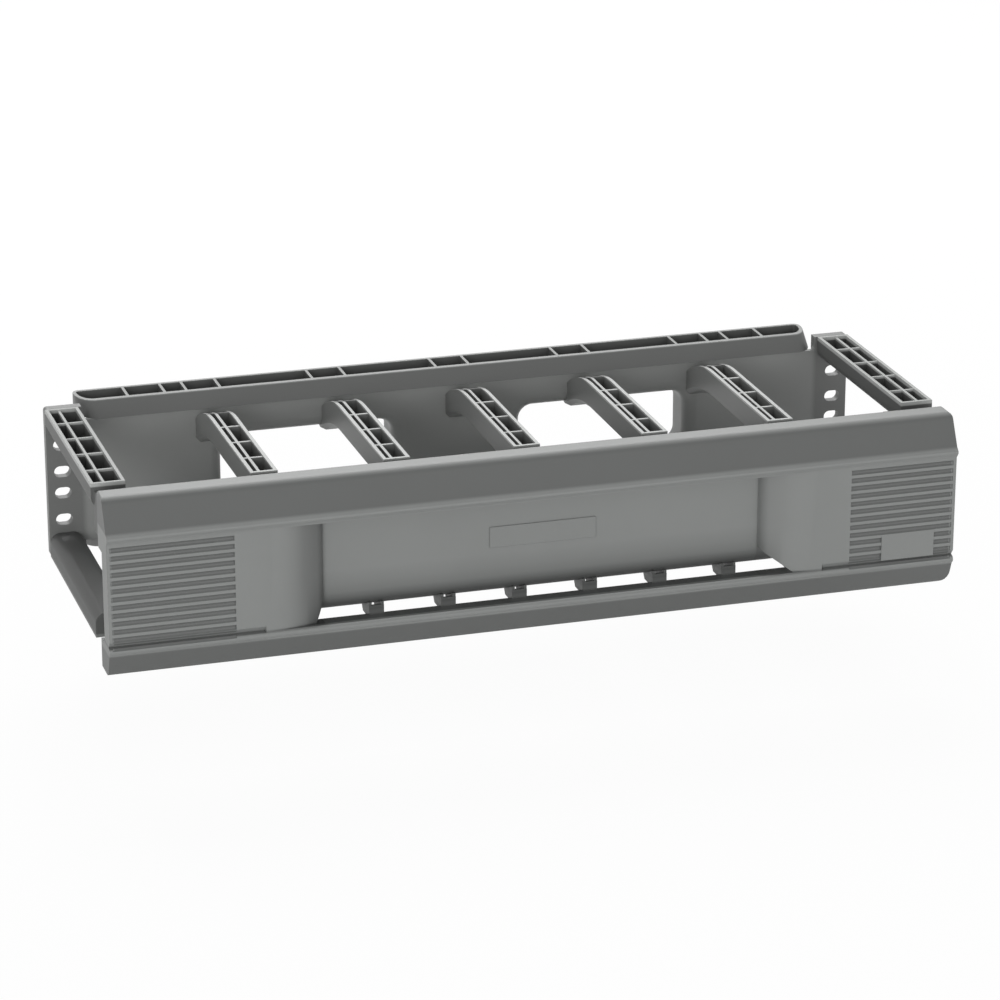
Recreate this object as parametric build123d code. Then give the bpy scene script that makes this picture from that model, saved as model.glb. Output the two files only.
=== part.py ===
from build123d import *
from math import sin, tan
import os

# Horizontal cable manager for a 19-inch rack, two units tall, in millimetres.
# X runs along the rack's width, Y points into the rack and Z is up.
# The origin is on the front face of the ears, at the centre of the slot pattern.

# Rack interface
RACK_WIDTH = 482.6
UNIT_PITCH = 44.45
UNITS = 2
PANEL_GAP = 0.8
SLOT_INSET = 8.75
SLOT_PAIR = 12.7
SLOT_LENGTH = 9.5
SLOT_HEIGHT = 6.6
EAR_WIDTH = 20.8

# Panel
WALL = 3.0
EAR_DEPTH = 5.7
EAR_CORNER = 2.0
WINDOW_GAP = 77.0
WINDOW_WIDTH = 101.4
WINDOW_HEIGHT = 34.6
WINDOW_CORNER = 8.0
LIP_RADIUS = 8.1
LIP_DEPTH = 22.0

# Rails along the panel's top and bottom edges
RAIL_HEIGHT = 8.05
RAIL_OVERHANG = 1.0
RAIL_LEAN = 9.5
RAIL_BACK_Y = 29.0
RAIL_FRONT_ROUND = 10.0
RAIL_BACK_ROUND = 4.0
RAIL_RIB_SPREAD = 19.6
RAIL_END_RIBS = (50.5, 29.0)

# Ribs inside every channel
SKIN = 2.0
RIB = 1.6
RIB_DROP = 0.8
CELL_PITCH = 27.0

# Wide arms at the ends
END_ARM_WIDTH = 19.0
END_ARM_DEPTH = 14.0
END_ARM_LENGTH = 138.0
END_PLATE_DEPTH = 9.0
END_ARM_SPLIT = 0.41
END_ARM_ROUND = 6.0
END_PLATE_INSET = 11.0
END_PLATE_DROP = 4.05
END_PLATE_HEIGHT = 25.0

# Narrow arms between them
FINGER_COUNT = 5
FINGER_CLEARANCE = 0.3
FINGER_WIDTH = 15.0
FINGER_DEPTH = 16.0
FINGER_DROP = 1.0
FINGER_SHORT = 4.0
LOWER_FINGER_SHORT = 26.0
FINGER_SPLIT = 0.36
FINGER_CHAMFER = 2.4
FINGER_FLOOR = 3.0
ROOT_DROP = 12.5
ROOT_RUN = 42.0
ROOT_FLARE = 11.0
ROOT_RISE = 1.4
ROOT_FIT = 0.15
TOE_DROP = 7.0
TOE_RUN = 16.0

# Front cover, with heights taken down from its top or up from its bottom
COVER_GAP = 7.0
COVER_RISE = 1.45
COVER_DROP = 10.25
COVER_SKIN = 2.5
TOP_FLANGE = 12.3
BROW_RADIUS = 6.5
BROW_HEIGHT = 17.3
FACE_DEPTH = 21.0
BEAD_REACH = 2.8
BEAD_DROP = 19.9
BEAD_RADIUS = 1.6
FACE_DROP = 23.5
FACE_RISE = 21.1

# Corners of the chin, as distances behind the face and above the cover's bottom
CHIN_GROOVE = (2.4, 18.1)
CHIN_BEAD = (-2.2, 16.5)
CHIN_BEAD_RADIUS = 2.0
CHIN_BAND = (1.0, 13.1)
CHIN_FOOT = (6.0, 0.0)
CHIN_BACK = (22.0, 0.0)
FOOT_RADIUS = 4.0
OPEN_BACK = 20.0
CAP_NOTCH_DEPTH = 8.5
CAP_NOTCH_DROP = 31.5
CAP_NOTCH_RISE = 16.3

# Recess in the cover's middle, which sits a little to the right
RECESS_SHIFT = 3.2
RECESS_FLOOR = 12.0
RECESS_HALF = 124.6
CHEEK_RUN = 32.0
CHEEK_RADIUS = 7.5

# Roll and slits below the recess
CURL_RADIUS = 12.0
CURL_RISE = 31.3
SHELF_DEPTH = 14.0
LEDGE_RISE = 16.1
LEDGE_REACH = (4.0, 14.5)
SLIT_COUNT = 7
SLIT_PITCH = 40.6
SLIT_WIDTH = 32.2
SLIT_SHIFT = 10.2
BAR_RIB = 1.6
BAR_DEPTH = 13.0
BAR_SLOPE = 5.0
BAR_LIP = 5.0
BAR_FOOT = 0.7

# Ribs on the cover's ends
GRIP_START = 175.4
GRIP_MARGIN = 1.8
GRIP_OVERRUN = 4.0
GRIP_PITCH = 4.62
GRIP_DEPTH = 1.1
GRIP_RADIUS = 1.5
GRIP_DROP = 26.5
PAD_INSET = 27.9
PAD_RISE = 27.2
PAD_SIZE = (31.4, 15.4)
PAD_PROUD = 0.3

# Cover hinge
HINGE_REACH = 10.5
HINGE_DROP = 6.55
PIN_RADIUS = 2.0
PIN_FIT = 0.02
RUNNING_FIT = 0.07
EYE_RADIUS = 4.0
EYE_WIDTH = 9.0
EYE_INSET = 16.3
TAB_WIDTH = 4.0
TAB_GAP = 0.4
NECK_BACK = 2.5
NECK_ARM = 8.0

# Drawing helpers
DEGREE = 3.14159265 / 180
TINY = 0.001

# Label carrier
LABEL_SIZE = (60.8, 12.0)
LABEL_CENTRE = (2.8, -0.7)
LABEL_THICK = 0.8

PANEL_HEIGHT = UNITS * UNIT_PITCH - PANEL_GAP
TOP = PANEL_HEIGHT / 2
HALF_WIDTH = RACK_WIDTH / 2
HOLE_SPAN = RACK_WIDTH - 2 * SLOT_INSET
POST_HALF = HALF_WIDTH - EAR_WIDTH
RAIL_FOOT = TOP - RAIL_HEIGHT
RAIL_FRONT_Y = -RAIL_OVERHANG
ARM_X = HALF_WIDTH - END_ARM_WIDTH
END_CHANNEL_LENGTH = END_ARM_LENGTH - END_PLATE_DEPTH
PLATE_TOP = TOP - END_PLATE_DROP
PLATE_FOOT = PLATE_TOP - END_PLATE_HEIGHT
OUTER_FINGER_X = WINDOW_GAP / 2 + WINDOW_WIDTH + FINGER_CLEARANCE + FINGER_WIDTH / 2
FINGER_LENGTH = END_ARM_LENGTH - FINGER_SHORT
LOWER_FINGER_LENGTH = END_ARM_LENGTH - LOWER_FINGER_SHORT
HINGE_Y = -(END_ARM_LENGTH + HINGE_REACH)
HINGE_Z = TOP - HINGE_DROP
EYE_X = HALF_WIDTH - EYE_INSET

COVER_TOP = TOP + COVER_RISE
COVER_BOTTOM = -(TOP + COVER_DROP)
COVER_BACK = -(END_ARM_LENGTH + COVER_GAP)
FACE_Y = COVER_BACK - FACE_DEPTH
BROW_FOOT_Z = COVER_TOP - BROW_HEIGHT
BEAD_Z = COVER_TOP - BEAD_DROP
FACE_TOP_Z = COVER_TOP - FACE_DROP
FACE_BOTTOM_Z = COVER_BOTTOM + FACE_RISE
CAP_NOTCH_TOP = COVER_TOP - CAP_NOTCH_DROP
CAP_NOTCH_BOTTOM = COVER_BOTTOM + CAP_NOTCH_RISE
FLOOR_Y = FACE_Y + RECESS_FLOOR
FLOOR_BACK = FLOOR_Y + COVER_SKIN
CURL_Z = COVER_BOTTOM + CURL_RISE
LEDGE_Z = COVER_BOTTOM + LEDGE_RISE
LEDGE_FOOT = LEDGE_Z - COVER_SKIN
LEDGE_FRONT_Y = FACE_Y + LEDGE_REACH[0]
LEDGE_BACK_Y = FACE_Y + LEDGE_REACH[1]
SLIT_ZONE = (SLIT_COUNT - 1) / 2 * SLIT_PITCH + SLIT_WIDTH / 2
SLIT_LOW = SLIT_SHIFT - SLIT_ZONE
SLIT_HIGH = SLIT_SHIFT + SLIT_ZONE
GRIP_TOP_Z = COVER_TOP - GRIP_DROP
GRIP_COUNT = int((GRIP_TOP_Z - FACE_BOTTOM_Z + GRIP_OVERRUN) / GRIP_PITCH) + 1
PAD_CENTRE = (HALF_WIDTH - PAD_INSET, COVER_BOTTOM + PAD_RISE)


def block(x_range, y_range, z_range):
    """Solid box between pairs of limits."""
    size = [high - low for low, high in (x_range, y_range, z_range)]
    middle = [(high + low) / 2 for low, high in (x_range, y_range, z_range)]
    return Pos(*middle) * Box(*size)


def side_solid(edges, x_low, x_high):
    """Extrude a closed outline, drawn as (y, z), from x_low to x_high."""
    face = make_face(edges)
    return Pos(x_low, 0, 0) * extrude(Plane.YZ * face, amount=x_high - x_low)


def rounded_outline(corners, inset=0.0):
    """Closed edges through (x, y, radius) corners listed clockwise, moved inwards by an inset."""
    starts, ends, middles = [], [], []
    for index, (x, y, radius) in enumerate(corners):
        here = Vector(x, y)
        before = (Vector(*corners[index - 1][:2]) - here).normalized()
        after = (Vector(*corners[(index + 1) % len(corners)][:2]) - here).normalized()
        half = before.get_angle(after) / 2 * DEGREE
        inwards = (before + after).normalized()
        bulges = before.cross(after).Z > 0
        turn = 1 if bulges else -1
        here += inwards * (turn * inset / sin(half))
        radius = max(radius - turn * inset, 0) if radius else 0
        starts.append(here + before * (radius / tan(half)))
        ends.append(here + after * (radius / tan(half)))
        middles.append(here + inwards * (radius / sin(half) - radius))
    edges = []
    for index, (start, middle, end) in enumerate(zip(starts, middles, ends)):
        if (end - start).length > TINY:
            edges.append(ThreePointArc(start, middle, end))
        edges.append(Line(end, starts[(index + 1) % len(starts)]))
    return edges


def front_slot(x, z, width, height, depth):
    """Cutter for a round-ended slot through an ear."""
    body = extrude(Plane.XZ * SlotOverall(width, height), amount=depth + 2)
    return Pos(x, depth + 1, z) * body


def window_block(grow, y_low, y_high):
    """Rounded window cutter, grown by a margin and filling a range of depths."""
    outline = RectangleRounded(
        WINDOW_WIDTH + 2 * grow, WINDOW_HEIGHT + 2 * grow, WINDOW_CORNER + grow
    )
    body = extrude(Plane.XZ * outline, amount=y_high - y_low)
    return Pos(0, y_high, 0) * body


def windowed_plate(half_width, half_height, y_low, y_high, grow):
    """Plate between two depths with both window openings cut through it."""
    plate = block((-half_width, half_width), (y_low, y_high), (-half_height, half_height))
    centre = (WINDOW_GAP + WINDOW_WIDTH) / 2
    for side in (-1, 1):
        plate -= Pos(side * centre, 0, 0) * window_block(grow, y_low - 1, y_high + 1)
    return plate


def window_rims(plate, y_low):
    """Edges of both windows on the plate's front face."""
    front = plate.edges().filter_by_position(Axis.Y, y_low - TINY, y_low + TINY)
    reach = WINDOW_GAP / 2 + WINDOW_WIDTH + WALL
    rims = [edge for edge in front if abs(edge.center().X) < reach + TINY]
    return [edge for edge in rims if abs(edge.center().Z) < WINDOW_HEIGHT / 2 + WALL + TINY]


def panel_front(grow=0.0):
    """Solid block behind the panel's front face, with both rolled windows cut through."""
    plate = windowed_plate(POST_HALF, RAIL_FOOT, 0, LIP_DEPTH, grow)
    return fillet(window_rims(plate, 0), LIP_RADIUS)


def make_back_panel():
    """Panel with ears, two windows with rolled lips and eight rack slots."""
    hollow = windowed_plate(POST_HALF + 1, RAIL_FOOT + 1, WALL, LIP_DEPTH + 1, WALL)
    hollow = chamfer(window_rims(hollow, WALL), (LIP_RADIUS - WALL) * (2 - 2**0.5))
    panel = panel_front() - hollow
    for side in (-1, 1):
        ear = block((POST_HALF, HALF_WIDTH), (0, EAR_DEPTH), (-TOP, TOP))
        ear = fillet(ear.edges().filter_by(Axis.Y).group_by(Axis.X)[-1], EAR_CORNER)
        if side < 0:
            ear = mirror(ear, Plane.YZ)
        panel += ear
    for side in (-1, 1):
        for z in (-UNIT_PITCH / 2, -SLOT_PAIR / 2, SLOT_PAIR / 2, UNIT_PITCH / 2):
            panel -= front_slot(side * HOLE_SPAN / 2, z, SLOT_LENGTH, SLOT_HEIGHT, EAR_DEPTH)
    return panel


def finger_centres():
    """X positions of the narrow arms, evenly spaced, the outer ones just outside the windows."""
    pitch = 2 * OUTER_FINGER_X / (FINGER_COUNT - 1)
    return [index * pitch - OUTER_FINGER_X for index in range(FINGER_COUNT)]


def rail_solid(inset, z_low, z_high):
    """Beam with a leaning front and rounded ends, shrunk by an inset, between two heights."""
    lean = RAIL_LEAN / RAIL_HEIGHT
    front = RAIL_FRONT_Y + inset * (1 + lean * lean) ** 0.5
    half = POST_HALF - inset
    corners = [
        (front + lean * (z_low - RAIL_FOOT), z_low),
        (front + lean * (z_high - RAIL_FOOT), z_high),
        (RAIL_BACK_Y - inset, z_high),
        (RAIL_BACK_Y - inset, z_low),
    ]
    beam = side_solid(Polyline(*corners, close=True), -half, half)
    ends = [edge for edge in beam.edges() if abs(abs(edge.center().X) - half) < TINY]
    leaning = [edge for edge in ends if edge.center().Y < RAIL_BACK_Y / 2]
    leaning = [edge for edge in leaning if edge.bounding_box().size.Z > TINY]
    beam = fillet(leaning, RAIL_FRONT_ROUND - inset)
    upright = [
        edge
        for edge in beam.edges().filter_by(Axis.Z)
        if edge.center().Y > RAIL_BACK_Y - inset - TINY
    ]
    return fillet(upright, RAIL_BACK_ROUND - inset)


def make_top_rail():
    """Channel beam, open upwards, with cross ribs beside each finger."""
    pocket = rail_solid(SKIN, RAIL_FOOT + SKIN, TOP + 1)
    beam = rail_solid(0, RAIL_FOOT, TOP) - pocket
    places = [x + side * RAIL_RIB_SPREAD / 2 for x in finger_centres() for side in (-1, 1)]
    places += [side * (POST_HALF - inset) for inset in RAIL_END_RIBS for side in (-1, 1)]
    webs = pocket & block((-POST_HALF, POST_HALF), (RAIL_FRONT_Y, RAIL_BACK_Y), (0, TOP))
    for x in places:
        slab = block((x - RIB / 2, x + RIB / 2), (RAIL_FRONT_Y, RAIL_BACK_Y), (0, TOP))
        beam += webs & slab
    return beam


def cell_ribs(pocket, x_low, x_high, split, y_front, z_top):
    """Ribs that divide a channel's pocket into two rows of cells."""
    ridge = x_low + split * (x_high - x_low)
    webs = block((ridge - RIB / 2, ridge + RIB / 2), (-y_front, 0), (0, z_top))
    count = int(y_front // CELL_PITCH)
    start = (y_front - (count - 1) * CELL_PITCH) / 2
    for index in range(count):
        y = -start - index * CELL_PITCH
        webs += block((x_low, x_high), (y - RIB / 2, y + RIB / 2), (0, z_top))
    return pocket & webs


def make_end_arm():
    """Upper right end arm: a ribbed channel open upwards."""
    z_low = TOP - END_ARM_DEPTH
    arm = block((ARM_X, HALF_WIDTH), (-END_CHANNEL_LENGTH, 0), (z_low, TOP))
    arm = fillet(arm.edges().filter_by(Axis.Y).group_by(Axis.Z)[0], END_ARM_ROUND)
    pocket = block(
        (ARM_X + SKIN, HALF_WIDTH - SKIN),
        (-END_CHANNEL_LENGTH + SKIN, -SKIN),
        (z_low + FINGER_FLOOR, TOP + 1),
    )
    pocket = fillet(pocket.edges().filter_by(Axis.Y).group_by(Axis.Z)[0], END_ARM_ROUND - SKIN)
    arm -= pocket
    split = 1 - END_ARM_SPLIT
    return arm + cell_ribs(pocket, ARM_X, HALF_WIDTH, split, END_CHANNEL_LENGTH, TOP - RIB_DROP)


def end_plate():
    """Front foot of an end arm, wider than the arm and reaching towards the other arm."""
    foot = block(
        (ARM_X - END_PLATE_INSET, HALF_WIDTH - RIB),
        (-END_ARM_LENGTH, -END_CHANNEL_LENGTH),
        (PLATE_FOOT, PLATE_TOP),
    )
    return fillet(foot.edges().filter_by(Axis.Y).group_by(Axis.Z)[0], END_ARM_ROUND / 2)


def hinge_bar(x_centre, width, radius):
    """Round bar along the hinge axis."""
    return Pos(x_centre, HINGE_Y, HINGE_Z) * Rot(0, 90, 0) * Cylinder(radius, width)


def hinge_neck():
    """Goose neck from the end plate to the hinge eye."""
    x_range = (EYE_X - EYE_WIDTH / 2, EYE_X + EYE_WIDTH / 2)
    neck = block(x_range, (HINGE_Y - EYE_RADIUS, HINGE_Y + NECK_BACK), (PLATE_FOOT, HINGE_Z))
    neck += block(x_range, (HINGE_Y, -END_ARM_LENGTH), (PLATE_FOOT, PLATE_FOOT + NECK_ARM))
    neck += hinge_bar(EYE_X, EYE_WIDTH, EYE_RADIUS)
    return neck - hinge_bar(EYE_X, EYE_WIDTH * 2, PIN_RADIUS + PIN_FIT)


def finger_profile(length):
    """Side view of a finger as closed edges in (y, z), with its root run into the window's lip."""
    top = TOP - FINGER_DROP
    under = top - FINGER_DEPTH
    root_top = top - ROOT_DROP
    root_under = under - ROOT_FLARE
    seat_under = root_under + ROOT_RISE
    toe = under - TOE_DROP
    return [
        Line((-length, top), (-ROOT_RUN, top)),
        TangentArc((-ROOT_RUN, top), (0, root_top), tangent=(1, 0)),
        Line((0, root_top), (LIP_RADIUS, root_top)),
        Line((LIP_RADIUS, root_top), (LIP_RADIUS, seat_under)),
        Line((LIP_RADIUS, seat_under), (0, root_under)),
        TangentArc((-ROOT_RUN, under), (0, root_under), tangent=(1, 0)),
        Line((-ROOT_RUN, under), (-length + TOE_RUN, under)),
        TangentArc((-length + TOE_RUN, under), (-length, toe), tangent=(-1, 0)),
        Line((-length, toe), (-length, top)),
    ]


def finger_pocket(length):
    """Side view of the pocket along a finger, open at the top."""
    floor = TOP - FINGER_DROP - FINGER_DEPTH + FINGER_FLOOR
    root_floor = floor - ROOT_FLARE
    front, back, above = -length + SKIN, -SKIN, TOP + 1
    return [
        Line((front, above), (back, above)),
        Line((back, above), (back, root_floor)),
        TangentArc((-ROOT_RUN, floor), (back, root_floor), tangent=(1, 0)),
        Line((-ROOT_RUN, floor), (front, floor)),
        Line((front, floor), (front, above)),
    ]


def belly_edges(body, length):
    """Long lower edges of a finger, from its toe to the wall."""
    middle = TOP - FINGER_DROP - FINGER_DEPTH / 2
    return [
        edge
        for edge in body.edges()
        if abs(edge.center().X) > 1
        and edge.center().Z < middle
        and -length + TOE_RUN / 4 < edge.center().Y < 0
        and edge.bounding_box().size.Y > TOE_RUN / 2
    ]


def make_finger(length):
    """Upper finger centred on X = 0: a ribbed channel whose crest falls to the wall in an arc."""
    half = FINGER_WIDTH / 2
    body = side_solid(finger_profile(length), -half, half)
    body = chamfer(belly_edges(body, length), FINGER_CHAMFER)
    pocket = side_solid(finger_pocket(length), SKIN - half, half - SKIN)
    web_top = TOP - FINGER_DROP - RIB_DROP
    webs = cell_ribs(pocket, -half, half, FINGER_SPLIT, length, web_top)
    return body - (pocket - webs)


def chin_point(corner):
    """Place of one of the chin's corners in (y, z)."""
    behind, above = corner
    return FACE_Y + behind, COVER_BOTTOM + above


def cover_outline(inset=0.0):
    """Section of the cover in (y, z): brow, bead, face, beaded chin and the open back."""
    back = COVER_BACK + (OPEN_BACK if inset else 0)
    chin_back = back if inset else chin_point(CHIN_BACK)[0]
    corners = [(COVER_BACK - TOP_FLANGE, COVER_TOP, BROW_RADIUS), (back, COVER_TOP, 0)]
    corners += [(chin_back, COVER_BOTTOM, 0), (*chin_point(CHIN_FOOT), FOOT_RADIUS)]
    if inset:
        corners += [(chin_point(CHIN_GROOVE)[0], FACE_BOTTOM_Z, 0)]
        corners += [(FACE_Y, FACE_BOTTOM_Z + inset, 0)]
    else:
        corners += [(*chin_point(CHIN_BAND), 0), (*chin_point(CHIN_BEAD), CHIN_BEAD_RADIUS)]
        corners += [(*chin_point(CHIN_GROOVE), 0), (FACE_Y, FACE_BOTTOM_Z, 0)]
        corners += [(FACE_Y, FACE_TOP_Z, 0), (FACE_Y - BEAD_REACH, BEAD_Z, BEAD_RADIUS)]
    corners += [(FACE_Y, BROW_FOOT_Z, 0)]
    return rounded_outline(corners, inset)


def cheek(side, grow):
    """Convex roll from the recess floor out to the face on one side, as two tangent arcs."""
    start_x, floor = RECESS_HALF + grow, FLOOR_Y + grow
    small, run, rise = CHEEK_RADIUS, CHEEK_RUN, RECESS_FLOOR
    large = (run * run - 2 * run * small + rise * rise) / (2 * rise - 2 * small)
    centre = Vector(start_x + small, floor)
    far = Vector(start_x + run, floor - rise + large)
    joint = centre + (centre - far).normalized() * small
    end = (side * (start_x + run), floor - rise)
    first = TangentArc((side * start_x, floor), (side * joint.X, joint.Y), tangent=(0, -1))
    second = TangentArc(end, (side * joint.X, joint.Y), tangent=(-side, 0))
    return [first, second]


def recess_solid(grow, z_low, z_high):
    """Recess between two heights, grown outwards for the skin behind it."""
    front, face, floor = FACE_Y - RECESS_FLOOR / 2, FACE_Y + grow, FLOOR_Y + grow
    half, mouth = RECESS_HALF + grow, RECESS_HALF + CHEEK_RUN + grow
    outline = [
        Line((-half, floor), (half, floor)),
        *cheek(1, grow),
        Line((mouth, face), (mouth, front)),
        Line((mouth, front), (-mouth, front)),
        Line((-mouth, front), (-mouth, face)),
        *cheek(-1, grow),
    ]
    return Pos(RECESS_SHIFT, 0, z_low) * extrude(make_face(outline), amount=z_high - z_low)


def recess_trim():
    """Cutter that opens the floor and the feet of the cheeks above the slits."""
    corners = [
        (SLIT_LOW, LEDGE_Z),
        (SLIT_HIGH, LEDGE_Z),
        (RECESS_SHIFT + RECESS_HALF, CURL_Z),
        (RECESS_SHIFT - RECESS_HALF, CURL_Z),
    ]
    outline = make_face(Polyline(*corners, close=True))
    depth = LEDGE_BACK_Y - FACE_Y
    return Pos(0, LEDGE_BACK_Y, 0) * extrude(Plane.XZ * outline, amount=depth)


def curl_strip():
    """Roll that turns the recess floor back over the slits, with a short shelf behind it."""
    centre_y, outer, inner = FLOOR_Y + CURL_RADIUS, CURL_RADIUS, CURL_RADIUS - COVER_SKIN
    shelf_back = centre_y + SHELF_DEPTH
    slant = 0.5 ** 0.5
    outline = [
        ThreePointArc(
            (FLOOR_Y, CURL_Z),
            (centre_y - outer * slant, CURL_Z - outer * slant),
            (centre_y, CURL_Z - outer),
        ),
        Line((centre_y, CURL_Z - outer), (shelf_back, CURL_Z - outer)),
        Line((shelf_back, CURL_Z - outer), (shelf_back, CURL_Z - inner)),
        Line((shelf_back, CURL_Z - inner), (centre_y, CURL_Z - inner)),
        ThreePointArc(
            (centre_y, CURL_Z - inner),
            (centre_y - inner * slant, CURL_Z - inner * slant),
            (FLOOR_BACK, CURL_Z),
        ),
        Line((FLOOR_BACK, CURL_Z), (FLOOR_Y, CURL_Z)),
    ]
    return side_solid(outline, SLIT_LOW - COVER_SKIN, SLIT_HIGH + COVER_SKIN)


def bar_rib(x_low, x_high):
    """Gusset from the ledge up to the roll, beside a slit."""
    front = LEDGE_BACK_Y - COVER_SKIN / 2
    curl_y = FLOOR_Y + CURL_RADIUS
    middle = CURL_Z - CURL_RADIUS + COVER_SKIN / 2
    corners = [
        (front, LEDGE_FOOT),
        (front, CURL_Z - CURL_RADIUS * BAR_FOOT),
        (curl_y, middle),
        (front + BAR_DEPTH + BAR_SLOPE, middle),
        (front + BAR_DEPTH, LEDGE_FOOT),
    ]
    return side_solid(Polyline(*corners, close=True), x_low, x_high)


def slit_frame():
    """Roll, ledge and paired ribs that leave the slits open between them."""
    low, high = SLIT_LOW, SLIT_HIGH
    frame = curl_strip()
    frame += block((low, high), (LEDGE_FRONT_Y, LEDGE_BACK_Y), (LEDGE_FOOT, LEDGE_Z))
    frame += bar_rib(low - COVER_SKIN, low)
    frame += bar_rib(high, high + COVER_SKIN)
    for index in range(SLIT_COUNT - 1):
        bar_low = low + index * SLIT_PITCH + SLIT_WIDTH
        bar_high = low + (index + 1) * SLIT_PITCH
        frame += bar_rib(bar_low, bar_low + BAR_RIB)
        frame += bar_rib(bar_high - BAR_RIB, bar_high)
        lip_y = (LEDGE_BACK_Y - BAR_RIB, LEDGE_BACK_Y)
        frame += block((bar_low, bar_high), lip_y, (LEDGE_FOOT, LEDGE_Z + BAR_LIP))
    return frame


def grip_grooves():
    """Round grooves across both ends of the face."""
    outer = HALF_WIDTH - GRIP_MARGIN
    grooves = []
    for index in range(GRIP_COUNT):
        z = GRIP_TOP_Z - index * GRIP_PITCH
        for low, high in ((-outer, RECESS_SHIFT - GRIP_START), (RECESS_SHIFT + GRIP_START, outer)):
            place = Pos((low + high) / 2, FACE_Y + GRIP_DEPTH - GRIP_RADIUS, z) * Rot(0, 90, 0)
            grooves.append(place * Cylinder(GRIP_RADIUS, high - low))
    return grooves


def cover_tabs():
    """Hinge tabs under the top flange, one on each side of both eyes."""
    reach = EYE_WIDTH / 2 + TAB_GAP + TAB_WIDTH / 2
    roof = COVER_TOP - COVER_SKIN / 2
    tabs = []
    for x in (-EYE_X - reach, -EYE_X + reach, EYE_X - reach, EYE_X + reach):
        tab = hinge_bar(x, TAB_WIDTH, EYE_RADIUS)
        x_range = (x - TAB_WIDTH / 2, x + TAB_WIDTH / 2)
        tab += block(x_range, (HINGE_Y - EYE_RADIUS, COVER_BACK), (HINGE_Z, roof))
        tabs.append(tab - hinge_bar(x, TAB_WIDTH * 2, PIN_RADIUS + RUNNING_FIT))
    return tabs


def make_front_cover():
    """Moulded cover with ribbed ends, a recessed middle and slits above its chin."""
    shell = side_solid(cover_outline(), -HALF_WIDTH, HALF_WIDTH)
    inner = HALF_WIDTH - COVER_SKIN
    cover = shell - side_solid(cover_outline(COVER_SKIN), -inner, inner)
    reach = RECESS_HALF + CHEEK_RUN + COVER_SKIN
    behind = block(
        (RECESS_SHIFT - reach, RECESS_SHIFT + reach), (FACE_Y, FLOOR_BACK), (LEDGE_FOOT, BEAD_Z)
    )
    cover += recess_solid(COVER_SKIN, LEDGE_FOOT, FACE_TOP_Z + COVER_SKIN) & behind
    groove_y, groove_z = chin_point(CHIN_GROOVE)
    sill = block(
        (-HALF_WIDTH, HALF_WIDTH), (FACE_Y - RECESS_FLOOR, groove_y), (LEDGE_FOOT, groove_z)
    )
    cover -= recess_solid(0, LEDGE_Z, FACE_TOP_Z) + recess_trim() - sill
    cover += slit_frame()
    x, z = PAD_CENTRE
    width, height = PAD_SIZE
    pad = block(
        (x - width / 2, x + width / 2),
        (FACE_Y - PAD_PROUD, FACE_Y + COVER_SKIN / 2),
        (z - height / 2, z + height / 2),
    )
    for groove in grip_grooves():
        cover -= groove
    cover += pad
    for side in (-1, 1):
        cap_x = sorted((side * (inner - COVER_SKIN / 4), side * (HALF_WIDTH + 1)))
        notch = block(
            cap_x,
            (COVER_BACK - CAP_NOTCH_DEPTH, COVER_BACK + CAP_NOTCH_DEPTH),
            (CAP_NOTCH_BOTTOM, CAP_NOTCH_TOP),
        )
        cover -= notch
    for tab in cover_tabs():
        cover += tab
    return cover


def make_label_plate():
    """Bare raised plate for a label, on the recess floor."""
    width, height = LABEL_SIZE
    x, z = LABEL_CENTRE
    x_range = (x - width / 2, x + width / 2)
    plate = block(x_range, (FLOOR_Y - LABEL_THICK, FLOOR_Y), (z - height / 2, z + height / 2))
    return chamfer(plate.edges().filter_by(Axis.Y), LABEL_THICK / 2)


def make_hinge_pin():
    """Round pin through the eye and both cover tabs on the right side."""
    length = EYE_WIDTH + 2 * (TAB_WIDTH + TAB_GAP)
    return hinge_bar(EYE_X, length, PIN_RADIUS)


def build():
    """All nodes by name."""
    nodes = {"back_panel": make_back_panel()}
    rail = make_top_rail()
    nodes["top_rail"] = rail
    nodes["bottom_rail"] = mirror(rail, Plane.XY)
    arm = make_end_arm()
    upper = arm + end_plate() + hinge_neck()
    nodes["right_upper_arm"] = upper
    nodes["left_upper_arm"] = mirror(upper, Plane.YZ)
    nodes["right_lower_arm"] = mirror(arm, Plane.XY)
    nodes["left_lower_arm"] = mirror(nodes["right_lower_arm"], Plane.YZ)
    upper_finger = make_finger(FINGER_LENGTH)
    lower_finger = make_finger(LOWER_FINGER_LENGTH)
    wall = panel_front(-ROOT_FIT)
    for index, x in enumerate(finger_centres(), start=1):
        nodes[f"upper_arm_{index}"] = Pos(x, 0, 0) * upper_finger - wall
        nodes[f"lower_arm_{index}"] = mirror(Pos(x, 0, 0) * lower_finger - wall, Plane.XY)
    nodes["front_cover"] = make_front_cover()
    nodes["label_plate"] = make_label_plate()
    pin = make_hinge_pin()
    nodes["right_hinge_pin"] = pin
    nodes["left_hinge_pin"] = mirror(pin, Plane.YZ)
    return nodes


os.makedirs("parts", exist_ok=True)
for name, shape in build().items():
    export_step(shape, f"parts/{name}.step")
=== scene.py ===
"""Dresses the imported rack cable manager: moulded grey plastic, a pale floor and soft light."""

import logging
import math
from dataclasses import dataclass, field
from enum import Enum
from typing import Any

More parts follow.
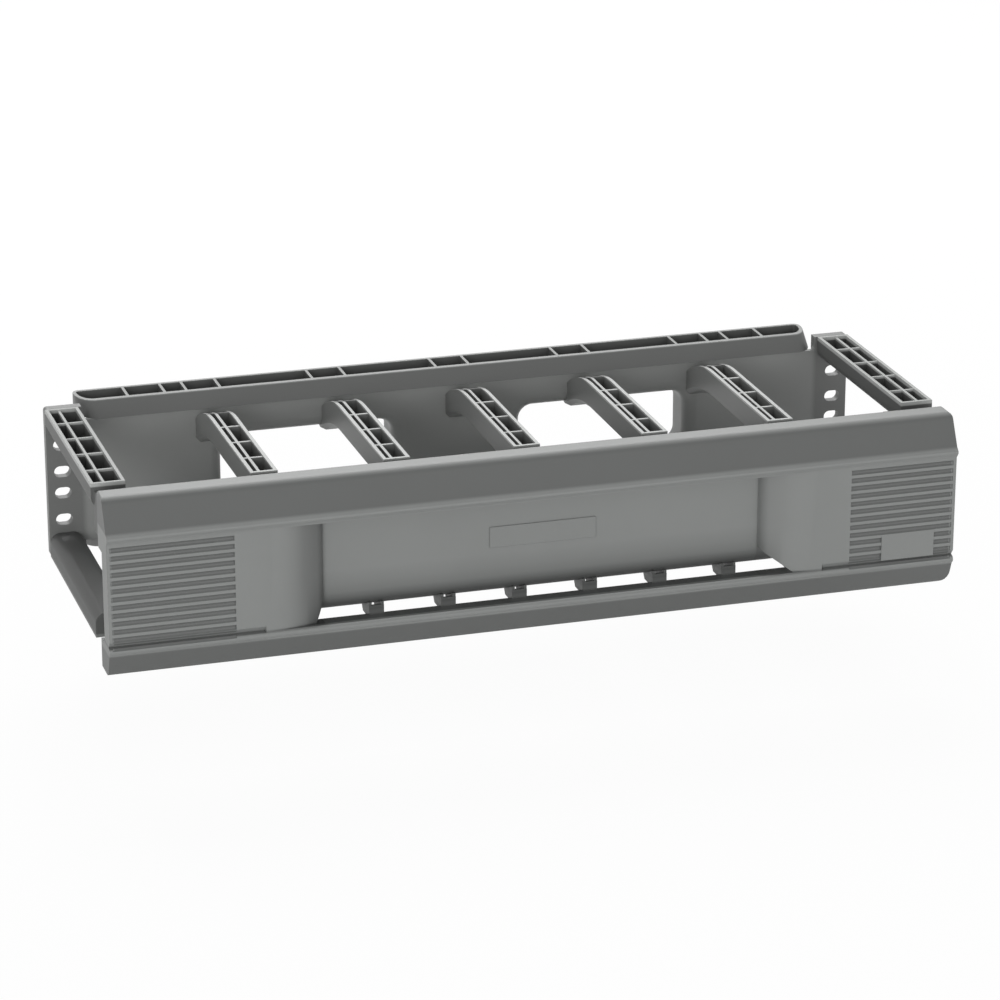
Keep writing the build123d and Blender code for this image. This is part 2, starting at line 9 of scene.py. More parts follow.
import bpy
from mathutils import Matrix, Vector

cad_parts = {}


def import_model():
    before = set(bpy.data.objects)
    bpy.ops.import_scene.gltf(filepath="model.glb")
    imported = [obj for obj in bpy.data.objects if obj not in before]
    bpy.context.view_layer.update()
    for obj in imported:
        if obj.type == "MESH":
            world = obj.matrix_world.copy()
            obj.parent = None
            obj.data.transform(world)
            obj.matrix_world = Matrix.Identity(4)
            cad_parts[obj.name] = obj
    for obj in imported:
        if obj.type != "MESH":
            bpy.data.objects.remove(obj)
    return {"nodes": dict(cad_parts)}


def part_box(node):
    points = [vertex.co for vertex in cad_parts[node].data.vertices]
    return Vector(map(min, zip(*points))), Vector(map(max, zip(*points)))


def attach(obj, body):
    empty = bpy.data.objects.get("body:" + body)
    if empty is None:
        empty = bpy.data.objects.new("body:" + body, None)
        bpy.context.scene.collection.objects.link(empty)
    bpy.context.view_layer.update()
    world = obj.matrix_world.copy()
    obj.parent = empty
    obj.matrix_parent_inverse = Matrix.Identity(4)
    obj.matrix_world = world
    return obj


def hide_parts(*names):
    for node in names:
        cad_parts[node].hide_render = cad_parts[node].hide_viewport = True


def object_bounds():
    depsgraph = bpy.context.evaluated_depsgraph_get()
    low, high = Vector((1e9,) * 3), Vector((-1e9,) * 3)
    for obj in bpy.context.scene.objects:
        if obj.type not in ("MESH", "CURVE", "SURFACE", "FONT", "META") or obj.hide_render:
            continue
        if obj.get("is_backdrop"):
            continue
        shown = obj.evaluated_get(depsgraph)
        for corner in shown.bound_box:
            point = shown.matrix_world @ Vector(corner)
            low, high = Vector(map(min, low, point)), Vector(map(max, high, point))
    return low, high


MM = 0.001
WHITE = (1.0, 1.0, 1.0, 1.0)
log = logging.getLogger("cable_manager")

Marks = tuple[tuple[float, float], ...]


class Tone(Enum):
    """Greys of the moulded pieces and the pins, as scene-linear colours."""

    # Painted light: PANEL is lighter and RAIL darker than the frame's one plastic, standing in
    # for light on the panel and shade on the rails.
    PANEL = (0.218, 0.223, 0.218)
    RAIL = (0.112, 0.115, 0.112)
    ARM = (0.168, 0.172, 0.168)
    COVER = (0.209, 0.216, 0.211)
    PIN = (0.420, 0.420, 0.410)


class Axis(Enum):
    """The object's axes: X to the right, Y into the rack, Z up."""

    X = "X"
    Y = "Y"
    Z = "Z"


class Val:
    """A shader socket that takes part in Python expressions."""

    def __init__(self, tree: "Nodes", socket: bpy.types.NodeSocket) -> None:
        """Wraps a socket.

        Args:
            tree: The node builder that owns the socket.
            socket: An output that carries a number.
        """
        self.tree = tree
        self.socket = socket

    def _maths(self, operation: str, first: Any, second: Any = 0.0, clamp: bool = False) -> "Val":
        """Adds one Math node.

        Args:
            operation: Blender's name for the operation.
            first: A value or a number.
            second: A value or a number.
            clamp: Keep the result between 0 and 1.

        Returns:
            The node's result.
        """
        settings = {"operation": operation, "use_clamp": clamp}
        node = self.tree.node("ShaderNodeMath", settings, {0: first, 1: second})
        return Val(self.tree, node.outputs[0])

    def __add__(self, other: Any) -> "Val":
        """Sum."""
        return self._maths("ADD", self, other)

    def __sub__(self, other: Any) -> "Val":
        """Difference."""
        return self._maths("SUBTRACT", self, other)

    def __mul__(self, other: Any) -> "Val":
        """Product."""
        return self._maths("MULTIPLY", self, other)

    def __truediv__(self, other: Any) -> "Val":
        """Quotient."""
        return self._maths("DIVIDE", self, other)

    def __radd__(self, other: Any) -> "Val":
        """Sum with a number on the left."""
        return self._maths("ADD", other, self)

    def __rsub__(self, other: Any) -> "Val":
        """Difference from a number on the left."""
        return self._maths("SUBTRACT", other, self)

    def __rmul__(self, other: Any) -> "Val":
        """Product with a number on the left."""
        return self._maths("MULTIPLY", other, self)

    def __rtruediv__(self, other: Any) -> "Val":
        """Quotient of a number on the left."""
        return self._maths("DIVIDE", other, self)

    def clamped(self) -> "Val":
        """The value held between 0 and 1."""
        return self._maths("ADD", self, 0.0, clamp=True)

    def size(self) -> "Val":
        """The value without its sign."""
        return self._maths("ABSOLUTE", self)


class Nodes:
    """Builds one material's or world's node tree."""

    def __init__(self, owner: Any) -> None:
        """Empties the owner's tree.

        Args:
            owner: A material or a world.
        """
        owner.use_nodes = True
        self.tree = owner.node_tree
        self.tree.nodes.clear()

    def node(
        self,
        kind: str,
        settings: dict[str, Any] | None = None,
        inputs: dict[Any, Any] | None = None,
    ) -> bpy.types.Node:
        """Adds any node.

        Args:
            kind: The node's type.
            settings: Properties, and ramp stops under the key "stops", set before the inputs.
            inputs: Values or links by socket name or number.

        Returns:
            The new node.
        """
        made = self.tree.nodes.new(kind)
        for name, value in (settings or {}).items():
            if name == "stops":
                self._stops(made.color_ramp, value)
            else:
                setattr(made, name, value)
        for key, value in (inputs or {}).items():
            if isinstance(value, Val):
                self.tree.links.new(value.socket, made.inputs[key])
            elif isinstance(value, bpy.types.NodeSocket):
                self.tree.links.new(value, made.inputs[key])
            else:
                made.inputs[key].default_value = value
        return made

    def value(
        self,
        kind: str,
        output: str,
        settings: dict[str, Any] | None = None,
        inputs: dict[Any, Any] | None = None,
    ) -> Val:
        """Adds a node and wraps one of its outputs.

        Args:
            kind: The node's type.
            output: The output's name.
            settings: As for node.
            inputs: As for node.

        Returns:
            The wrapped output.
        """
        return Val(self, self.node(kind, settings, inputs).outputs[output])

    def place(self) -> bpy.types.NodeSocket:
        """Object coordinates."""
        return self.node("ShaderNodeTexCoord").outputs["Object"]

    @staticmethod
    def _stops(ramp: bpy.types.ColorRamp, stops: list[tuple[float, float]]) -> None:
        """Sets a ramp's grey stops.

        Args:
            ramp: The ramp.
            stops: Pairs of position and grey level.
        """
        while len(ramp.elements) < len(stops):
            ramp.elements.new(1.0)
        for element, (place, grey) in zip(ramp.elements, stops):
            element.position = place
            element.color = (grey, grey, grey, 1.0)


@dataclass(frozen=True)
class Zones:
    """A level that changes along one axis, given by marks in millimetres."""

    marks: Marks
    axis: Axis = Axis.Z
    mirrored: bool = False
    shift: float = 0.0

    def level(self, tree: Nodes, place: bpy.types.NodeSocket) -> Val:
        """Reads the level at a point.

        Args:
            tree: The material's nodes.
            place: Object coordinates.

        Returns:
            The level, between 0 and 1.
        """
        axes = tree.node("ShaderNodeSeparateXYZ", inputs={0: place})
        along = Val(tree, axes.outputs[self.axis.value]) - self.shift * MM
        if self.mirrored:
            along = along.size()
        low, high = self.marks[0][0] * MM, self.marks[-1][0] * MM
        stops = [((mark * MM - low) / (high - low), share) for mark, share in self.marks]
        along = ((along - low) / (high - low)).clamped()
        return tree.value("ShaderNodeValToRGB", "Color", {"stops": stops}, {"Fac": along})


@dataclass(frozen=True)
class PaintedShadePatch:
    """A region, bounded along several axes, where shade is painted into the plastic's colour."""

    bounds: tuple[Zones, ...]
    loss: float

    def kept(self, tree: Nodes, place: bpy.types.NodeSocket) -> Val:
        """Reads the share of the tone that the patch leaves.

        Args:
            tree: The material's nodes.
            place: Object coordinates.

        Returns:
            The share, between 1 - loss and 1.
        """
        inside = self.bounds[0].level(tree, place)
        for bound in self.bounds[1:]:
            inside = inside * bound.level(tree, place)
        # Painted shade: the tone is darkened by up to loss inside the region.
        return 1.0 - inside * self.loss


@dataclass(frozen=True)
class Mottle:
    """An uneven pattern in a plastic."""

    size: float
    detail: float
    roughness: float

    def level(self, tree: Nodes, place: bpy.types.NodeSocket) -> Val:
        """Reads the pattern at a point.

        Args:
            tree: The material's nodes.
            place: Object coordinates.

        Returns:
            The level, between 0 and 1.
        """
        inputs = {
            "Vector": place,
            "Scale": 1.0 / self.size,
            "Detail": self.detail,
            "Roughness": self.roughness,
        }
        return tree.value("ShaderNodeTexNoise", "Fac", inputs=inputs)


@dataclass(frozen=True)
class MouldedPlastic:
    """Satin injection-moulded plastic with a fine spark-eroded grain."""

    name: str
    tone: Tone
    # The zones, brightest and patches paint light and shade into the tone by position.
    zones: Zones
    brightest: float = 1.0
    patches: tuple[PaintedShadePatch, ...] = ()
    roughness: float = 0.42
    roughness_spread: float = 0.08
    specular: float = 0.38
    flow: Mottle = Mottle(size=60.0 * MM, detail=3.0, roughness=0.55)
    flow_tint: float = 0.10
    grain: Mottle = Mottle(size=0.55 * MM, detail=2.0, roughness=0.6)
    grain_tint: float = 0.06
    grain_height: float = 0.018 * MM
    grain_strength: float = 0.35
    middle: float = 0.5

    def share(self, tree: Nodes, place: bpy.types.NodeSocket) -> Val:
        """Share of the tone that each place keeps, with painted light and shade by position.

        Args:
            tree: The material's nodes.
            place: Object coordinates.

        Returns:
            The share.
        """
        # Painted light and shade: the zones by position, then each patch's painted shade.
        kept = self.zones.level(tree, place) * self.brightest
        for patch in self.patches:
            kept = kept * patch.kept(tree, place)
        return kept

    def colour(self, tree: Nodes, share: Val) -> bpy.types.NodeSocket:
        """Scales the tone.

        Args:
            tree: The material's nodes.
            share: How much of the tone to keep.

        Returns:
            The colour.
        """
        scaled = tree.node(
            "ShaderNodeVectorMath", {"operation": "SCALE"}, {0: self.tone.value, "Scale": share}
        )
        return scaled.outputs["Vector"]

    def material(self) -> bpy.types.Material:
        """Builds the material.

        Returns:
            A material that varies gently in colour and roughness and has a fine grain.
        """
        made = bpy.data.materials.new(self.name)
        tree = Nodes(made)
        place = tree.place()
        flow = self.flow.level(tree, place)
        grain = self.grain.level(tree, place)
        tint = (flow - self.middle) * self.flow_tint + (grain - self.middle) * self.grain_tint
        spread = self.roughness_spread
        rough = (grain - self.middle) * spread + (flow - self.middle) * spread
        height = {
            "Height": grain,
            "Strength": self.grain_strength,
            "Distance": self.grain_height,
        }
        looks = {
            "Base Color": self.colour(tree, self.share(tree, place) * (tint + 1.0)),
            "Roughness": rough + self.roughness,
            "Normal": tree.node("ShaderNodeBump", inputs=height).outputs["Normal"],
            "Specular IOR Level": self.specular,
        }
        shader = tree.node("ShaderNodeBsdfPrincipled", inputs=looks)
        tree.node("ShaderNodeOutputMaterial", inputs={"Surface": shader.outputs["BSDF"]})
        return made


@dataclass(frozen=True)
class DrawnSteel:
    """Plain drawn steel with faint lines round the pin."""

    name: str = "drawn_steel"
    tone: Tone = Tone.PIN
    roughness: float = 0.34
    roughness_spread: float = 0.15
    stretch: tuple[float, float, float] = (4000.0, 60.0, 60.0)
    detail: float = 2.0
    middle: float = 0.5

    def material(self) -> bpy.types.Material:
        """Builds the material.

        Returns:
            Metal with faint lines round the pin.
        """
        made = bpy.data.materials.new(self.name)
        tree = Nodes(made)
        stretched = tree.node(
            "ShaderNodeMapping", inputs={"Vector": tree.place(), "Scale": self.stretch}
        )
        lines = tree.value(
            "ShaderNodeTexNoise", "Fac",
            inputs={"Vector": stretched.outputs["Vector"], "Detail": self.detail},
        )
        looks = {
            "Base Color": self.tone.value + (1.0,),
            "Metallic": 1.0,
            "Roughness": (lines - self.middle) * self.roughness_spread + self.roughness,
        }
        shader = tree.node("ShaderNodeBsdfPrincipled", inputs=looks)
        tree.node("ShaderNodeOutputMaterial", inputs={"Surface": shader.outputs["BSDF"]})
        return made


def dress(node: bpy.types.Object, material: bpy.types.Material) -> None:
    """Puts one material on every slot of a piece.

    Args:
        node: The piece.
        material: Its finish.
    """
    if not node.material_slots:
        node.data.materials.append(material)
    for place in node.material_slots:
        place.material = material


@dataclass(frozen=True)
class Corner:
    """One corner of a moulding as seen from the front."""

    right: bool
    top: bool
    radius: float

    def edge(self, mesh: bpy.types.Mesh, low: Vector, high: Vector) -> bpy.types.MeshEdge:
        """Finds a block's edge at the corner.

        Args:
            mesh: The block's mesh.
            low: The block's lowest corner.
            high: The block's highest corner.

        Returns:
            The edge, which runs from front to back.
        """
        across = high.x if self.right else low.x
        level = high.z if self.top else low.z

        def miss(edge: bpy.types.MeshEdge) -> float:
            """How far the edge's ends are from the corner, as seen from the front."""
            ends = (mesh.vertices[index].co for index in edge.vertices)
            return sum(math.hypot(end.x - across, end.z - level) for end in ends)

        return min(mesh.edges, key=miss)


@dataclass
class Softener:
    """Rounds the sharp edges of a moulding, as its tool's radii do."""

    width: float = 0.35 * MM
    segments: int = 2
    sharp: float = math.radians(38)
    flat: float = math.radians(1.0)
    weld: float = 0.004 * MM
    corners: tuple[Corner, ...] = ()
    corner_segments: int = 6
    slack: float = 0.02 * MM

    def twin(self, source: bpy.types.Object) -> bpy.types.Object:
        """Copies a CAD node and merges its loose triangles.

        Args:
            source: The CAD node.

        Returns:
            The copy, selected and active.
        """
        bpy.ops.object.select_all(action="DESELECT")
        piece = bpy.data.objects.new(f"moulded_{source.name}", source.data.copy())
        bpy.context.scene.collection.objects.link(piece)
        piece.select_set(True)
        bpy.context.view_layer.objects.active = piece
        bpy.ops.object.mode_set(mode="EDIT")
        bpy.ops.mesh.select_all(action="SELECT")
        bpy.ops.mesh.remove_doubles(threshold=self.weld)
        bpy.ops.object.mode_set(mode="OBJECT")
        return piece

    def trimming_block(self, low: Vector, high: Vector) -> bpy.types.Object:
        """Makes the block, rounded at its corners as seen from the front, that trims a piece.

        Args:
            low: Lowest corner of the piece.
            high: Highest corner of the piece.

        Returns:
            The block.
        """
        bpy.ops.object.select_all(action="DESELECT")
        margin = Vector((1.0, 1.0, 1.0)) * self.slack
        low, high = low - margin, high + margin
        bpy.ops.mesh.primitive_cube_add(size=1.0, location=(low + high) / 2, scale=high - low)
        bpy.ops.object.transform_apply(location=True, rotation=True, scale=True)
        block = bpy.context.object
        bpy.context.tool_settings.mesh_select_mode = (False, True, False)
        for corner in self.corners:
            for part in (*block.data.vertices, *block.data.edges, *block.data.polygons):
                part.select = False
            corner.edge(block.data, low, high).select = True
            bpy.ops.object.mode_set(mode="EDIT")
            bpy.ops.mesh.bevel(
                offset=corner.radius, segments=self.corner_segments, affect="EDGES"
            )
            bpy.ops.object.mode_set(mode="OBJECT")
        return block

    def round_corners(self, piece: bpy.types.Object, low: Vector, high: Vector) -> None:
        """Rounds the piece's corners as seen from the front.

        Args:
            piece: The piece.
            low: Its lowest corner.
            high: Its highest corner.
        """
        block = self.trimming_block(low, high)
        bpy.ops.object.select_all(action="DESELECT")
        piece.select_set(True)
        bpy.context.view_layer.objects.active = piece
        trim = piece.modifiers.new("corners", "BOOLEAN")
        trim.operation = "INTERSECT"
        trim.solver = "EXACT"
        trim.object = block
        bpy.ops.object.modifier_apply(modifier=trim.name)
        bpy.data.objects.remove(block, do_unlink=True)

    def join_flats(self) -> None:
        """Joins the active piece's triangles into its flat faces."""
        bpy.ops.object.mode_set(mode="EDIT")
        bpy.ops.mesh.select_all(action="SELECT")
        bpy.ops.mesh.dissolve_limited(angle_limit=self.flat)
        bpy.ops.object.mode_set(mode="OBJECT")

    def round_edges(self, piece: bpy.types.Object) -> None:
        """Gives the piece's sharp edges their small radius.

        Args:
            piece: The active piece.
        """
        bevel = piece.modifiers.new("tool_radius", "BEVEL")
        bevel.width = self.width
        bevel.segments = self.segments
        bevel.limit_method = "ANGLE"
        bevel.angle_limit = self.sharp
        bevel.use_clamp_overlap = True
        bevel.harden_normals = False
        bpy.ops.object.modifier_apply(modifier=bevel.name)

    def shade(self, piece: bpy.types.Object) -> None:
        """Shades the piece smooth, with its large faces flat.

        Args:
            piece: The active piece.
        """
        bpy.ops.object.shade_smooth_by_angle(angle=self.sharp)
        even = piece.modifiers.new("even_shade", "WEIGHTED_NORMAL")
        even.mode = "FACE_AREA"
        even.keep_sharp = True
        bpy.ops.object.modifier_apply(modifier=even.name)

    def soften(self, source: bpy.types.Object, body: str, slot: str) -> bpy.types.Object:
        """Makes the rounded moulding that stands for a CAD node.

        Args:
            source: The CAD node.
            body: The body that it rides on.
            slot: Not used.

        Returns:
            The finished piece.
        """
        piece = self.twin(source)
        if self.corners:
            self.round_corners(piece, *(Vector(end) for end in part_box(source.name)))
        self.join_flats()
        self.round_edges(piece)
        self.shade(piece)
        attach(piece, body)
        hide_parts(source.name)
        return piece


@dataclass
class Moulding:
    """Pieces that come from one tool and share a finish."""

    body: str
    slot: str
    names: list[str]
    finish: MouldedPlastic
    softener: Softener = field(default_factory=Softener)

    def build(self, nodes: dict[str, bpy.types.Object]) -> None:
        """Rounds and dresses every piece.

        Args:
            nodes: The CAD nodes by name.
        """
        material = self.finish.material()
        for name in self.names:
            piece = self.softener.soften(nodes[name], self.body, self.slot)
            dress(piece, material)
            log.info("%s: %d faces", piece.name, len(piece.data.polygons))


@dataclass
class BackPanel:
    """The slotted panel with its two windows, painted lighter overall and with painted shade
    towards its ears.
    """

    # Painted shade: the tone falls towards the ears; brightest paints light onto the whole panel.
    ears: Marks = ((0.0, 1.0), (190.0, 0.93), (219.0, 0.85), (222.0, 0.55), (242.0, 0.55))
    brightest: float = 1.25

    def build(self, nodes: dict[str, bpy.types.Object]) -> None:
        """Rounds and dresses the panel.

        Args:
            nodes: The CAD nodes by name.
        """
        zones = Zones(self.ears, Axis.X, mirrored=True)
        finish = MouldedPlastic("panel_plastic", Tone.PANEL, zones, brightest=self.brightest)
        Moulding("frame", "frame_plastic", ["back_panel"], finish).build(nodes)


@dataclass
class Rails:
    """The ribbed beams along the panel's edges, with a painted highlight on the rib tops."""

    # Painted highlight: the rib tops take more than twice the share of the fronts below them.
    heights: Marks = ((36.0, 0.47), (43.5, 0.47), (43.9, 1.0), (44.5, 1.0))
    brightest: float = 2.0

    def build(self, nodes: dict[str, bpy.types.Object]) -> None:
        """Rounds and dresses both beams.

        Args:
            nodes: The CAD nodes by name.
        """
        zones = Zones(self.heights, mirrored=True)
        finish = MouldedPlastic("rail_plastic", Tone.RAIL, zones, brightest=self.brightest)
        Moulding("frame", "frame_plastic", ["top_rail", "bottom_rail"], finish).build(nodes)


@dataclass
class Arms:
    """The end arms and the fingers between them, with a painted highlight on the ribs' edges and
    painted shade on the lower row.
    """

    brightest: float = 2.5
    finger_count: int = 5
    # Painted light by height: a painted highlight on the ribs' edges and painted shade on the
    # lower row of arms.
    finger_heights: Marks = (
        (-44.5, 0.5), (-42.2, 0.5), (-41.8, 0.21), (-16.0, 0.24), (-8.0, 0.39), (41.8, 0.39),
        (42.2, 1.0), (44.5, 1.0),
    )
    # The end arms carry more painted shade than the fingers.
    end_heights: Marks = (
        (-44.5, 0.4), (-42.2, 0.4), (-41.8, 0.21), (-16.0, 0.22), (-8.0, 0.26), (41.8, 0.26),
        (42.2, 1.0), (44.5, 1.0),
    )
    end_roughness: float = 0.5
    end_specular: float = 0.2

    def end_finish(self) -> MouldedPlastic:
        """The end arms' finish, which is rougher, less glossy and carries more painted shade than
        the fingers'.

        Returns:
            The finish.
        """
        return MouldedPlastic(
            "end_arm_plastic", Tone.ARM, Zones(self.end_heights), brightest=self.brightest,
            roughness=self.end_roughness, specular=self.end_specular,
        )

    def build(self, nodes: dict[str, bpy.types.Object]) -> None:
        """Rounds and dresses the arms.

        Args:
            nodes: The CAD nodes by name.
        """
        rows = ("upper", "lower")
        ends = [f"{side}_{row}_arm" for side in ("left", "right") for row in rows]
        Moulding("frame", "frame_plastic", ends, self.end_finish()).build(nodes)
        fingers = [f"{row}_arm_{i + 1}" for row in rows for i in range(self.finger_count)]
        zones = Zones(self.finger_heights)
        finish = MouldedPlastic("arm_plastic", Tone.ARM, zones, brightest=self.brightest)
        Moulding("frame", "frame_plastic", fingers, finish).build(nodes)


@dataclass(frozen=True)
class CoverPaintedShade:
    """Painted shade on the cover's grooves, cheeks, trough and the cheeks' feet, by marks in
    millimetres along its axes.
    """

    shift: float = 3.2
    # How much of the tone each patch of painted shade takes away.
    groove_loss: float = 0.42
    left_cheek_loss: float = 0.42
    right_cheek_loss: float = 0.18
    trough_loss: float = 0.62
    foot_loss: float = 0.4

    def grooves(self) -> PaintedShadePatch:
        """Painted shade on the floors of the grooves between the ribs of both ends.

        Returns:
            The patch.
        """
        inner: Marks = ((170.0, 0.0), (175.0, 0.0), (175.6, 1.0), (180.0, 1.0))
        outer: Marks = ((230.0, 1.0), (238.4, 1.0), (238.8, 0.0), (240.0, 0.0))
        rows: Marks = (
            (-42.0, 0.0), (-38.2, 0.0), (-37.8, 1.0), (20.6, 1.0), (21.0, 0.0), (25.0, 0.0),
        )
        depths: Marks = (
            (-166.4, 0.0), (-166.0, 0.0), (-165.3, 1.0), (-164.6, 1.0), (-164.4, 0.0),
            (-164.0, 0.0),
        )
        bounds = (
            Zones(inner, Axis.X, mirrored=True, shift=self.shift),
            Zones(outer, Axis.X, mirrored=True),
            Zones(rows),
            Zones(depths, Axis.Y),
        )
        return PaintedShadePatch(bounds, self.groove_loss)

    def cheeks(self) -> tuple[PaintedShadePatch, PaintedShadePatch]:
        """Painted shade on the rolled sides of the recess, darkest where they turn into it.

        Returns:
            The left patch and the right one.
        """
        heights: Marks = (
            (-43.0, 0.0), (-41.4, 0.0), (-40.9, 1.0), (21.8, 1.0), (22.2, 0.0), (25.0, 0.0),
        )
        depths: Marks = ((-168.0, 0.0), (-165.9, 0.0), (-163.6, 1.0), (-120.0, 1.0))
        left: Marks = (
            (-160.0, 0.0), (-153.0, 0.0), (-146.0, 0.3), (-140.0, 0.5), (-134.0, 0.68),
            (-128.0, 0.9), (-121.6, 1.0), (-121.2, 0.0), (-118.0, 0.0),
        )
        right: Marks = (
            (120.0, 0.0), (127.6, 0.0), (128.0, 1.0), (134.0, 0.7), (142.0, 0.25), (150.0, 0.0),
        )
        recess = (Zones(heights), Zones(depths, Axis.Y))
        return (
            PaintedShadePatch((Zones(left, Axis.X), *recess), self.left_cheek_loss),
            PaintedShadePatch((Zones(right, Axis.X), *recess), self.right_cheek_loss),
        )

    def trough(self) -> PaintedShadePatch:
        """Painted shade on the recess's curled lower edge and the ledge in front of the slits.

        Returns:
            The patch.
        """
        heights: Marks = (
            (-44.0, 0.0), (-41.4, 0.0), (-40.9, 0.65), (-37.0, 0.65), (-35.0, 1.0), (-31.0, 0.9),
            (-26.0, 0.55), (-18.0, 0.2), (-10.0, 0.0),
        )
        depths: Marks = ((-166.0, 0.0), (-163.4, 0.0), (-162.8, 1.0), (-120.0, 1.0))
        middle: Marks = ((110.0, 1.0), (124.0, 1.0), (140.0, 0.0), (150.0, 0.0))
        bounds = (
            Zones(heights),
            Zones(depths, Axis.Y),
            Zones(middle, Axis.X, mirrored=True, shift=self.shift),
        )
        return PaintedShadePatch(bounds, self.trough_loss)

    def feet(self) -> PaintedShadePatch:
        """A painted shadow along the line where the cheeks meet the chin.

        Returns:
            The patch.
        """
        heights: Marks = (
            (-38.0, 0.0), (-37.3, 0.0), (-36.9, 1.0), (-36.2, 1.0), (-35.2, 0.0), (-30.0, 0.0),
        )
        sides: Marks = ((110.0, 0.0), (122.0, 0.0), (132.0, 1.0), (175.0, 1.0))
        bounds = (Zones(heights), Zones(sides, Axis.X, mirrored=True, shift=self.shift))
        return PaintedShadePatch(bounds, self.foot_loss)

    def all(self) -> tuple[PaintedShadePatch, ...]:
        """Every patch."""
        return (self.grooves(), *self.cheeks(), self.trough(), self.feet())


@dataclass
class Cover:
    """The hinged cover and the bare label carrier in its recess."""

    # Painted shade: the brow and chin bands are painted darker than the face and the top flange.
    heights: Marks = (
        (-54.5, 0.56), (-42.0, 0.56), (-41.0, 1.0), (27.2, 1.0), (28.4, 0.53), (43.6, 0.53),
        (45.0, 1.0), (46.0, 1.0),
    )
    roughness: float = 0.45
    label_roughness: float = 0.38
    corners: tuple[Corner, ...] = (
        Corner(right=False, top=True, radius=1.6 * MM),
        Corner(right=True, top=True, radius=2.4 * MM),
        Corner(right=True, top=False, radius=7.0 * MM),
    )

    def build(self, nodes: dict[str, bpy.types.Object]) -> None:
        """Rounds and dresses the cover and its label carrier.

        Args:
            nodes: The CAD nodes by name.
        """
        zones = Zones(self.heights)
        # The cover's finish carries painted shade from its heights and from its patches.
        finish = MouldedPlastic(
            "cover_plastic", Tone.COVER, zones, patches=CoverPaintedShade().all(),
            roughness=self.roughness,
        )
        rounded = Softener(corners=self.corners)
        Moulding("cover", "cover_plastic", ["front_cover"], finish, rounded).build(nodes)
        plain = MouldedPlastic(
            "label_plastic", Tone.COVER, zones, roughness=self.label_roughness
        )
        Moulding("cover", "label_plastic", ["label_plate"], plain).build(nodes)


@dataclass
class HingePins:
    """Steel pins of the cover's hinge."""

    names: tuple[str, ...] = ("left_hinge_pin", "right_hinge_pin")

    def build(self, nodes: dict[str, bpy.types.Object]) -> None:
        """Dresses both pins.

        Args:
            nodes: The CAD nodes by name.
        """
        material = DrawnSteel().material()
        for name in self.names:
            dress(nodes[name], material)
            log.info("%s: dressed", name)


@dataclass(frozen=True)
class SoftBox:
    """One square lamp: its offset from the object and its side in metres, its power in watts."""

    name: str
    offset: tuple[float, float, float]
    side: float
    power: float

    def hang(self, centre: Vector) -> None:
        """Hangs the lamp, facing the object.

        Args:
            centre: The object's centre.
        """
        light = bpy.data.lights.new(self.name, "AREA")
        light.size = self.side
        light.energy = self.power
        lamp = bpy.data.objects.new(self.name, light)
        lamp.location = centre + Vector(self.offset)
        lamp.rotation_euler = (centre - lamp.location).to_track_quat("-Z", "Y").to_euler()
        bpy.context.scene.collection.objects.link(lamp)


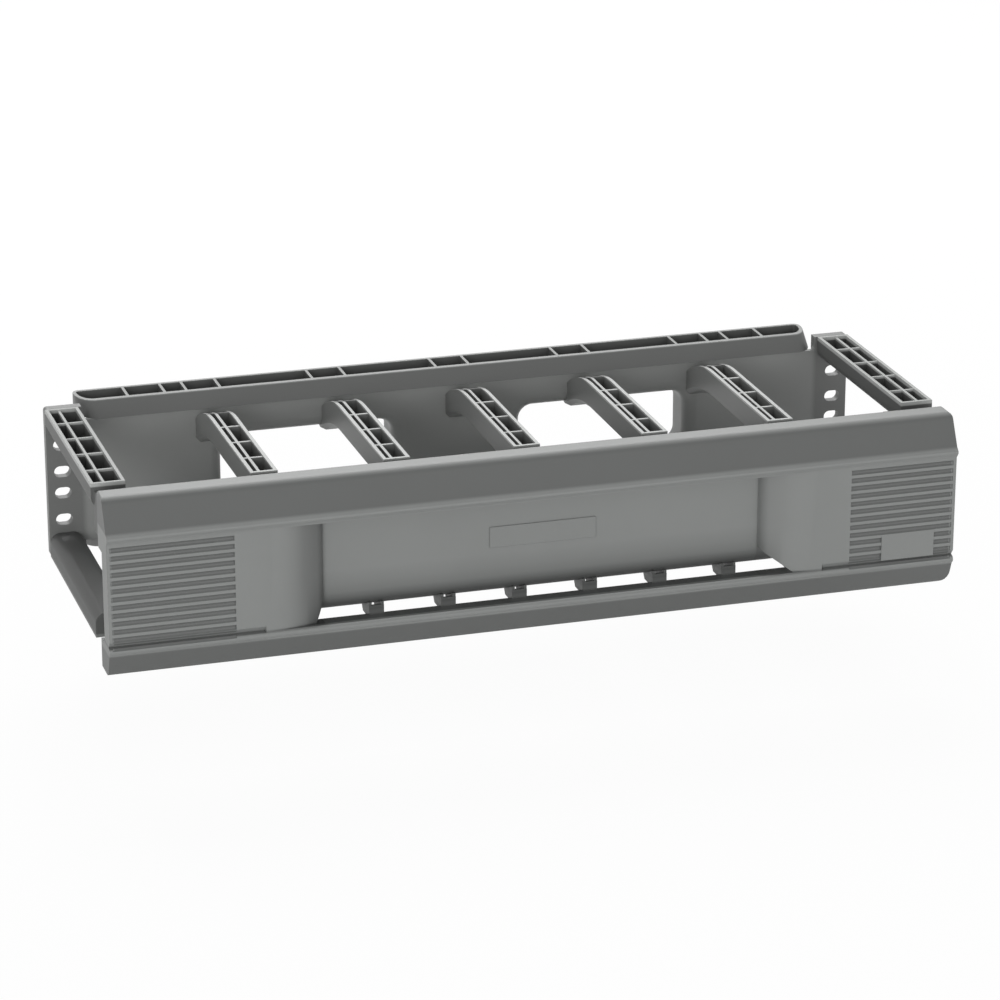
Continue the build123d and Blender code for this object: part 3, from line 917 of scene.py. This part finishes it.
@dataclass
class Studio:
    """Camera, floor, sky and lamps."""

    focal_px: float = 3916.0
    frame_px: float = 1000.0
    sensor: float = 36.0
    yaw: float = math.radians(-17.0)
    elevation: float = math.radians(19.91)
    eye: tuple[float, float, float] = (-605.5 * MM, -2063.9 * MM, 743.7 * MM)
    farthest: float = 50.0
    floor_drop: float = 60.0 * MM
    floor_size: float = 14.0
    floor_colour: tuple[float, float, float, float] = (0.9, 0.9, 0.9, 1.0)
    floor_glow: float = 0.95
    sky: float = 0.45
    lamps: tuple[SoftBox, ...] = (
        SoftBox("key", (-1.7, -3.1, 0.45), side=1.6, power=62.0),
        SoftBox("fill", (0.9, -2.3, 0.3), side=1.2, power=8.0),
        SoftBox("back", (0.2, 1.5, 1.5), side=1.6, power=34.0),
    )

    def camera(self) -> None:
        """Places the camera at the photograph's angle."""
        lens = bpy.data.cameras.new("camera")
        lens.lens = self.focal_px / self.frame_px * self.sensor
        lens.sensor_width = self.sensor
        lens.clip_end = self.farthest
        camera = bpy.data.objects.new("camera", lens)
        camera.location = self.eye
        camera.rotation_euler = (math.pi / 2 - self.elevation, 0.0, self.yaw)
        bpy.context.scene.collection.objects.link(camera)
        bpy.context.scene.camera = camera

    def floor_material(self) -> bpy.types.Material:
        """A pale floor that the camera sees as white and that keeps a trace of the shadow.

        Returns:
            The material.
        """
        material = bpy.data.materials.new("floor_white")
        tree = Nodes(material)
        seen = tree.value("ShaderNodeLightPath", "Is Camera Ray")
        plain = tree.node("ShaderNodeBsdfDiffuse", inputs={"Color": self.floor_colour})
        glow = tree.node("ShaderNodeEmission", inputs={"Color": WHITE, "Strength": 1.0})
        mixed = tree.node(
            "ShaderNodeMixShader",
            inputs={0: seen * self.floor_glow, 1: plain.outputs[0], 2: glow.outputs[0]},
        )
        tree.node("ShaderNodeOutputMaterial", inputs={"Surface": mixed.outputs[0]})
        return material

    def floor(self, lowest: float) -> None:
        """Lays the white floor.

        Args:
            lowest: Height of the object's lowest point.
        """
        bpy.ops.object.select_all(action="DESELECT")
        bpy.ops.mesh.primitive_plane_add(
            size=self.floor_size, location=(0, 0, lowest - self.floor_drop)
        )
        floor = bpy.context.object
        floor.name = "floor"
        floor.data.materials.append(self.floor_material())
        floor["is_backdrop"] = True

    def world(self) -> None:
        """Even grey sky that the camera and reflections see as white."""
        world = bpy.data.worlds.new("studio")
        bpy.context.scene.world = world
        tree = Nodes(world)
        ray = tree.node("ShaderNodeLightPath")
        seen = Val(tree, ray.outputs["Is Camera Ray"])
        glossy = Val(tree, ray.outputs["Is Glossy Ray"])
        clear = Val(tree, ray.outputs["Is Transmission Ray"])
        white = (seen + glossy + clear).clamped()
        strength = white * (1.0 - self.sky) + self.sky
        sky = tree.node("ShaderNodeBackground", inputs={"Color": WHITE, "Strength": strength})
        tree.node("ShaderNodeOutputWorld", inputs={"Surface": sky.outputs[0]})

    def build(self, low: Vector, high: Vector) -> None:
        """Sets up the whole studio.

        Args:
            low: Lowest corner of the object.
            high: Highest corner of the object.
        """
        self.camera()
        self.floor(low.z)
        self.world()
        for lamp in self.lamps:
            lamp.hang((low + high) / 2)
        bpy.context.scene.view_settings.view_transform = "Standard"
        log.info("studio: camera, floor, sky and %d lamps", len(self.lamps))


def corners(low: Vector, high: Vector) -> list[list[float]]:
    """A box as plain lists of numbers.

    Args:
        low: Lowest corner.
        high: Highest corner.

    Returns:
        Both corners.
    """
    return [[float(v) for v in low], [float(v) for v in high]]


def main() -> None:
    """Builds the pieces in order."""
    logging.basicConfig(level=logging.INFO, format="%(message)s")
    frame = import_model()
    nodes = frame["nodes"]
    low, high = (Vector(corner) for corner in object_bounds())
    for assembly in (BackPanel(), Rails(), Arms(), Cover(), HingePins()):
        assembly.build(nodes)
    Studio().build(low, high)


if __name__ == "__main__":
    main()
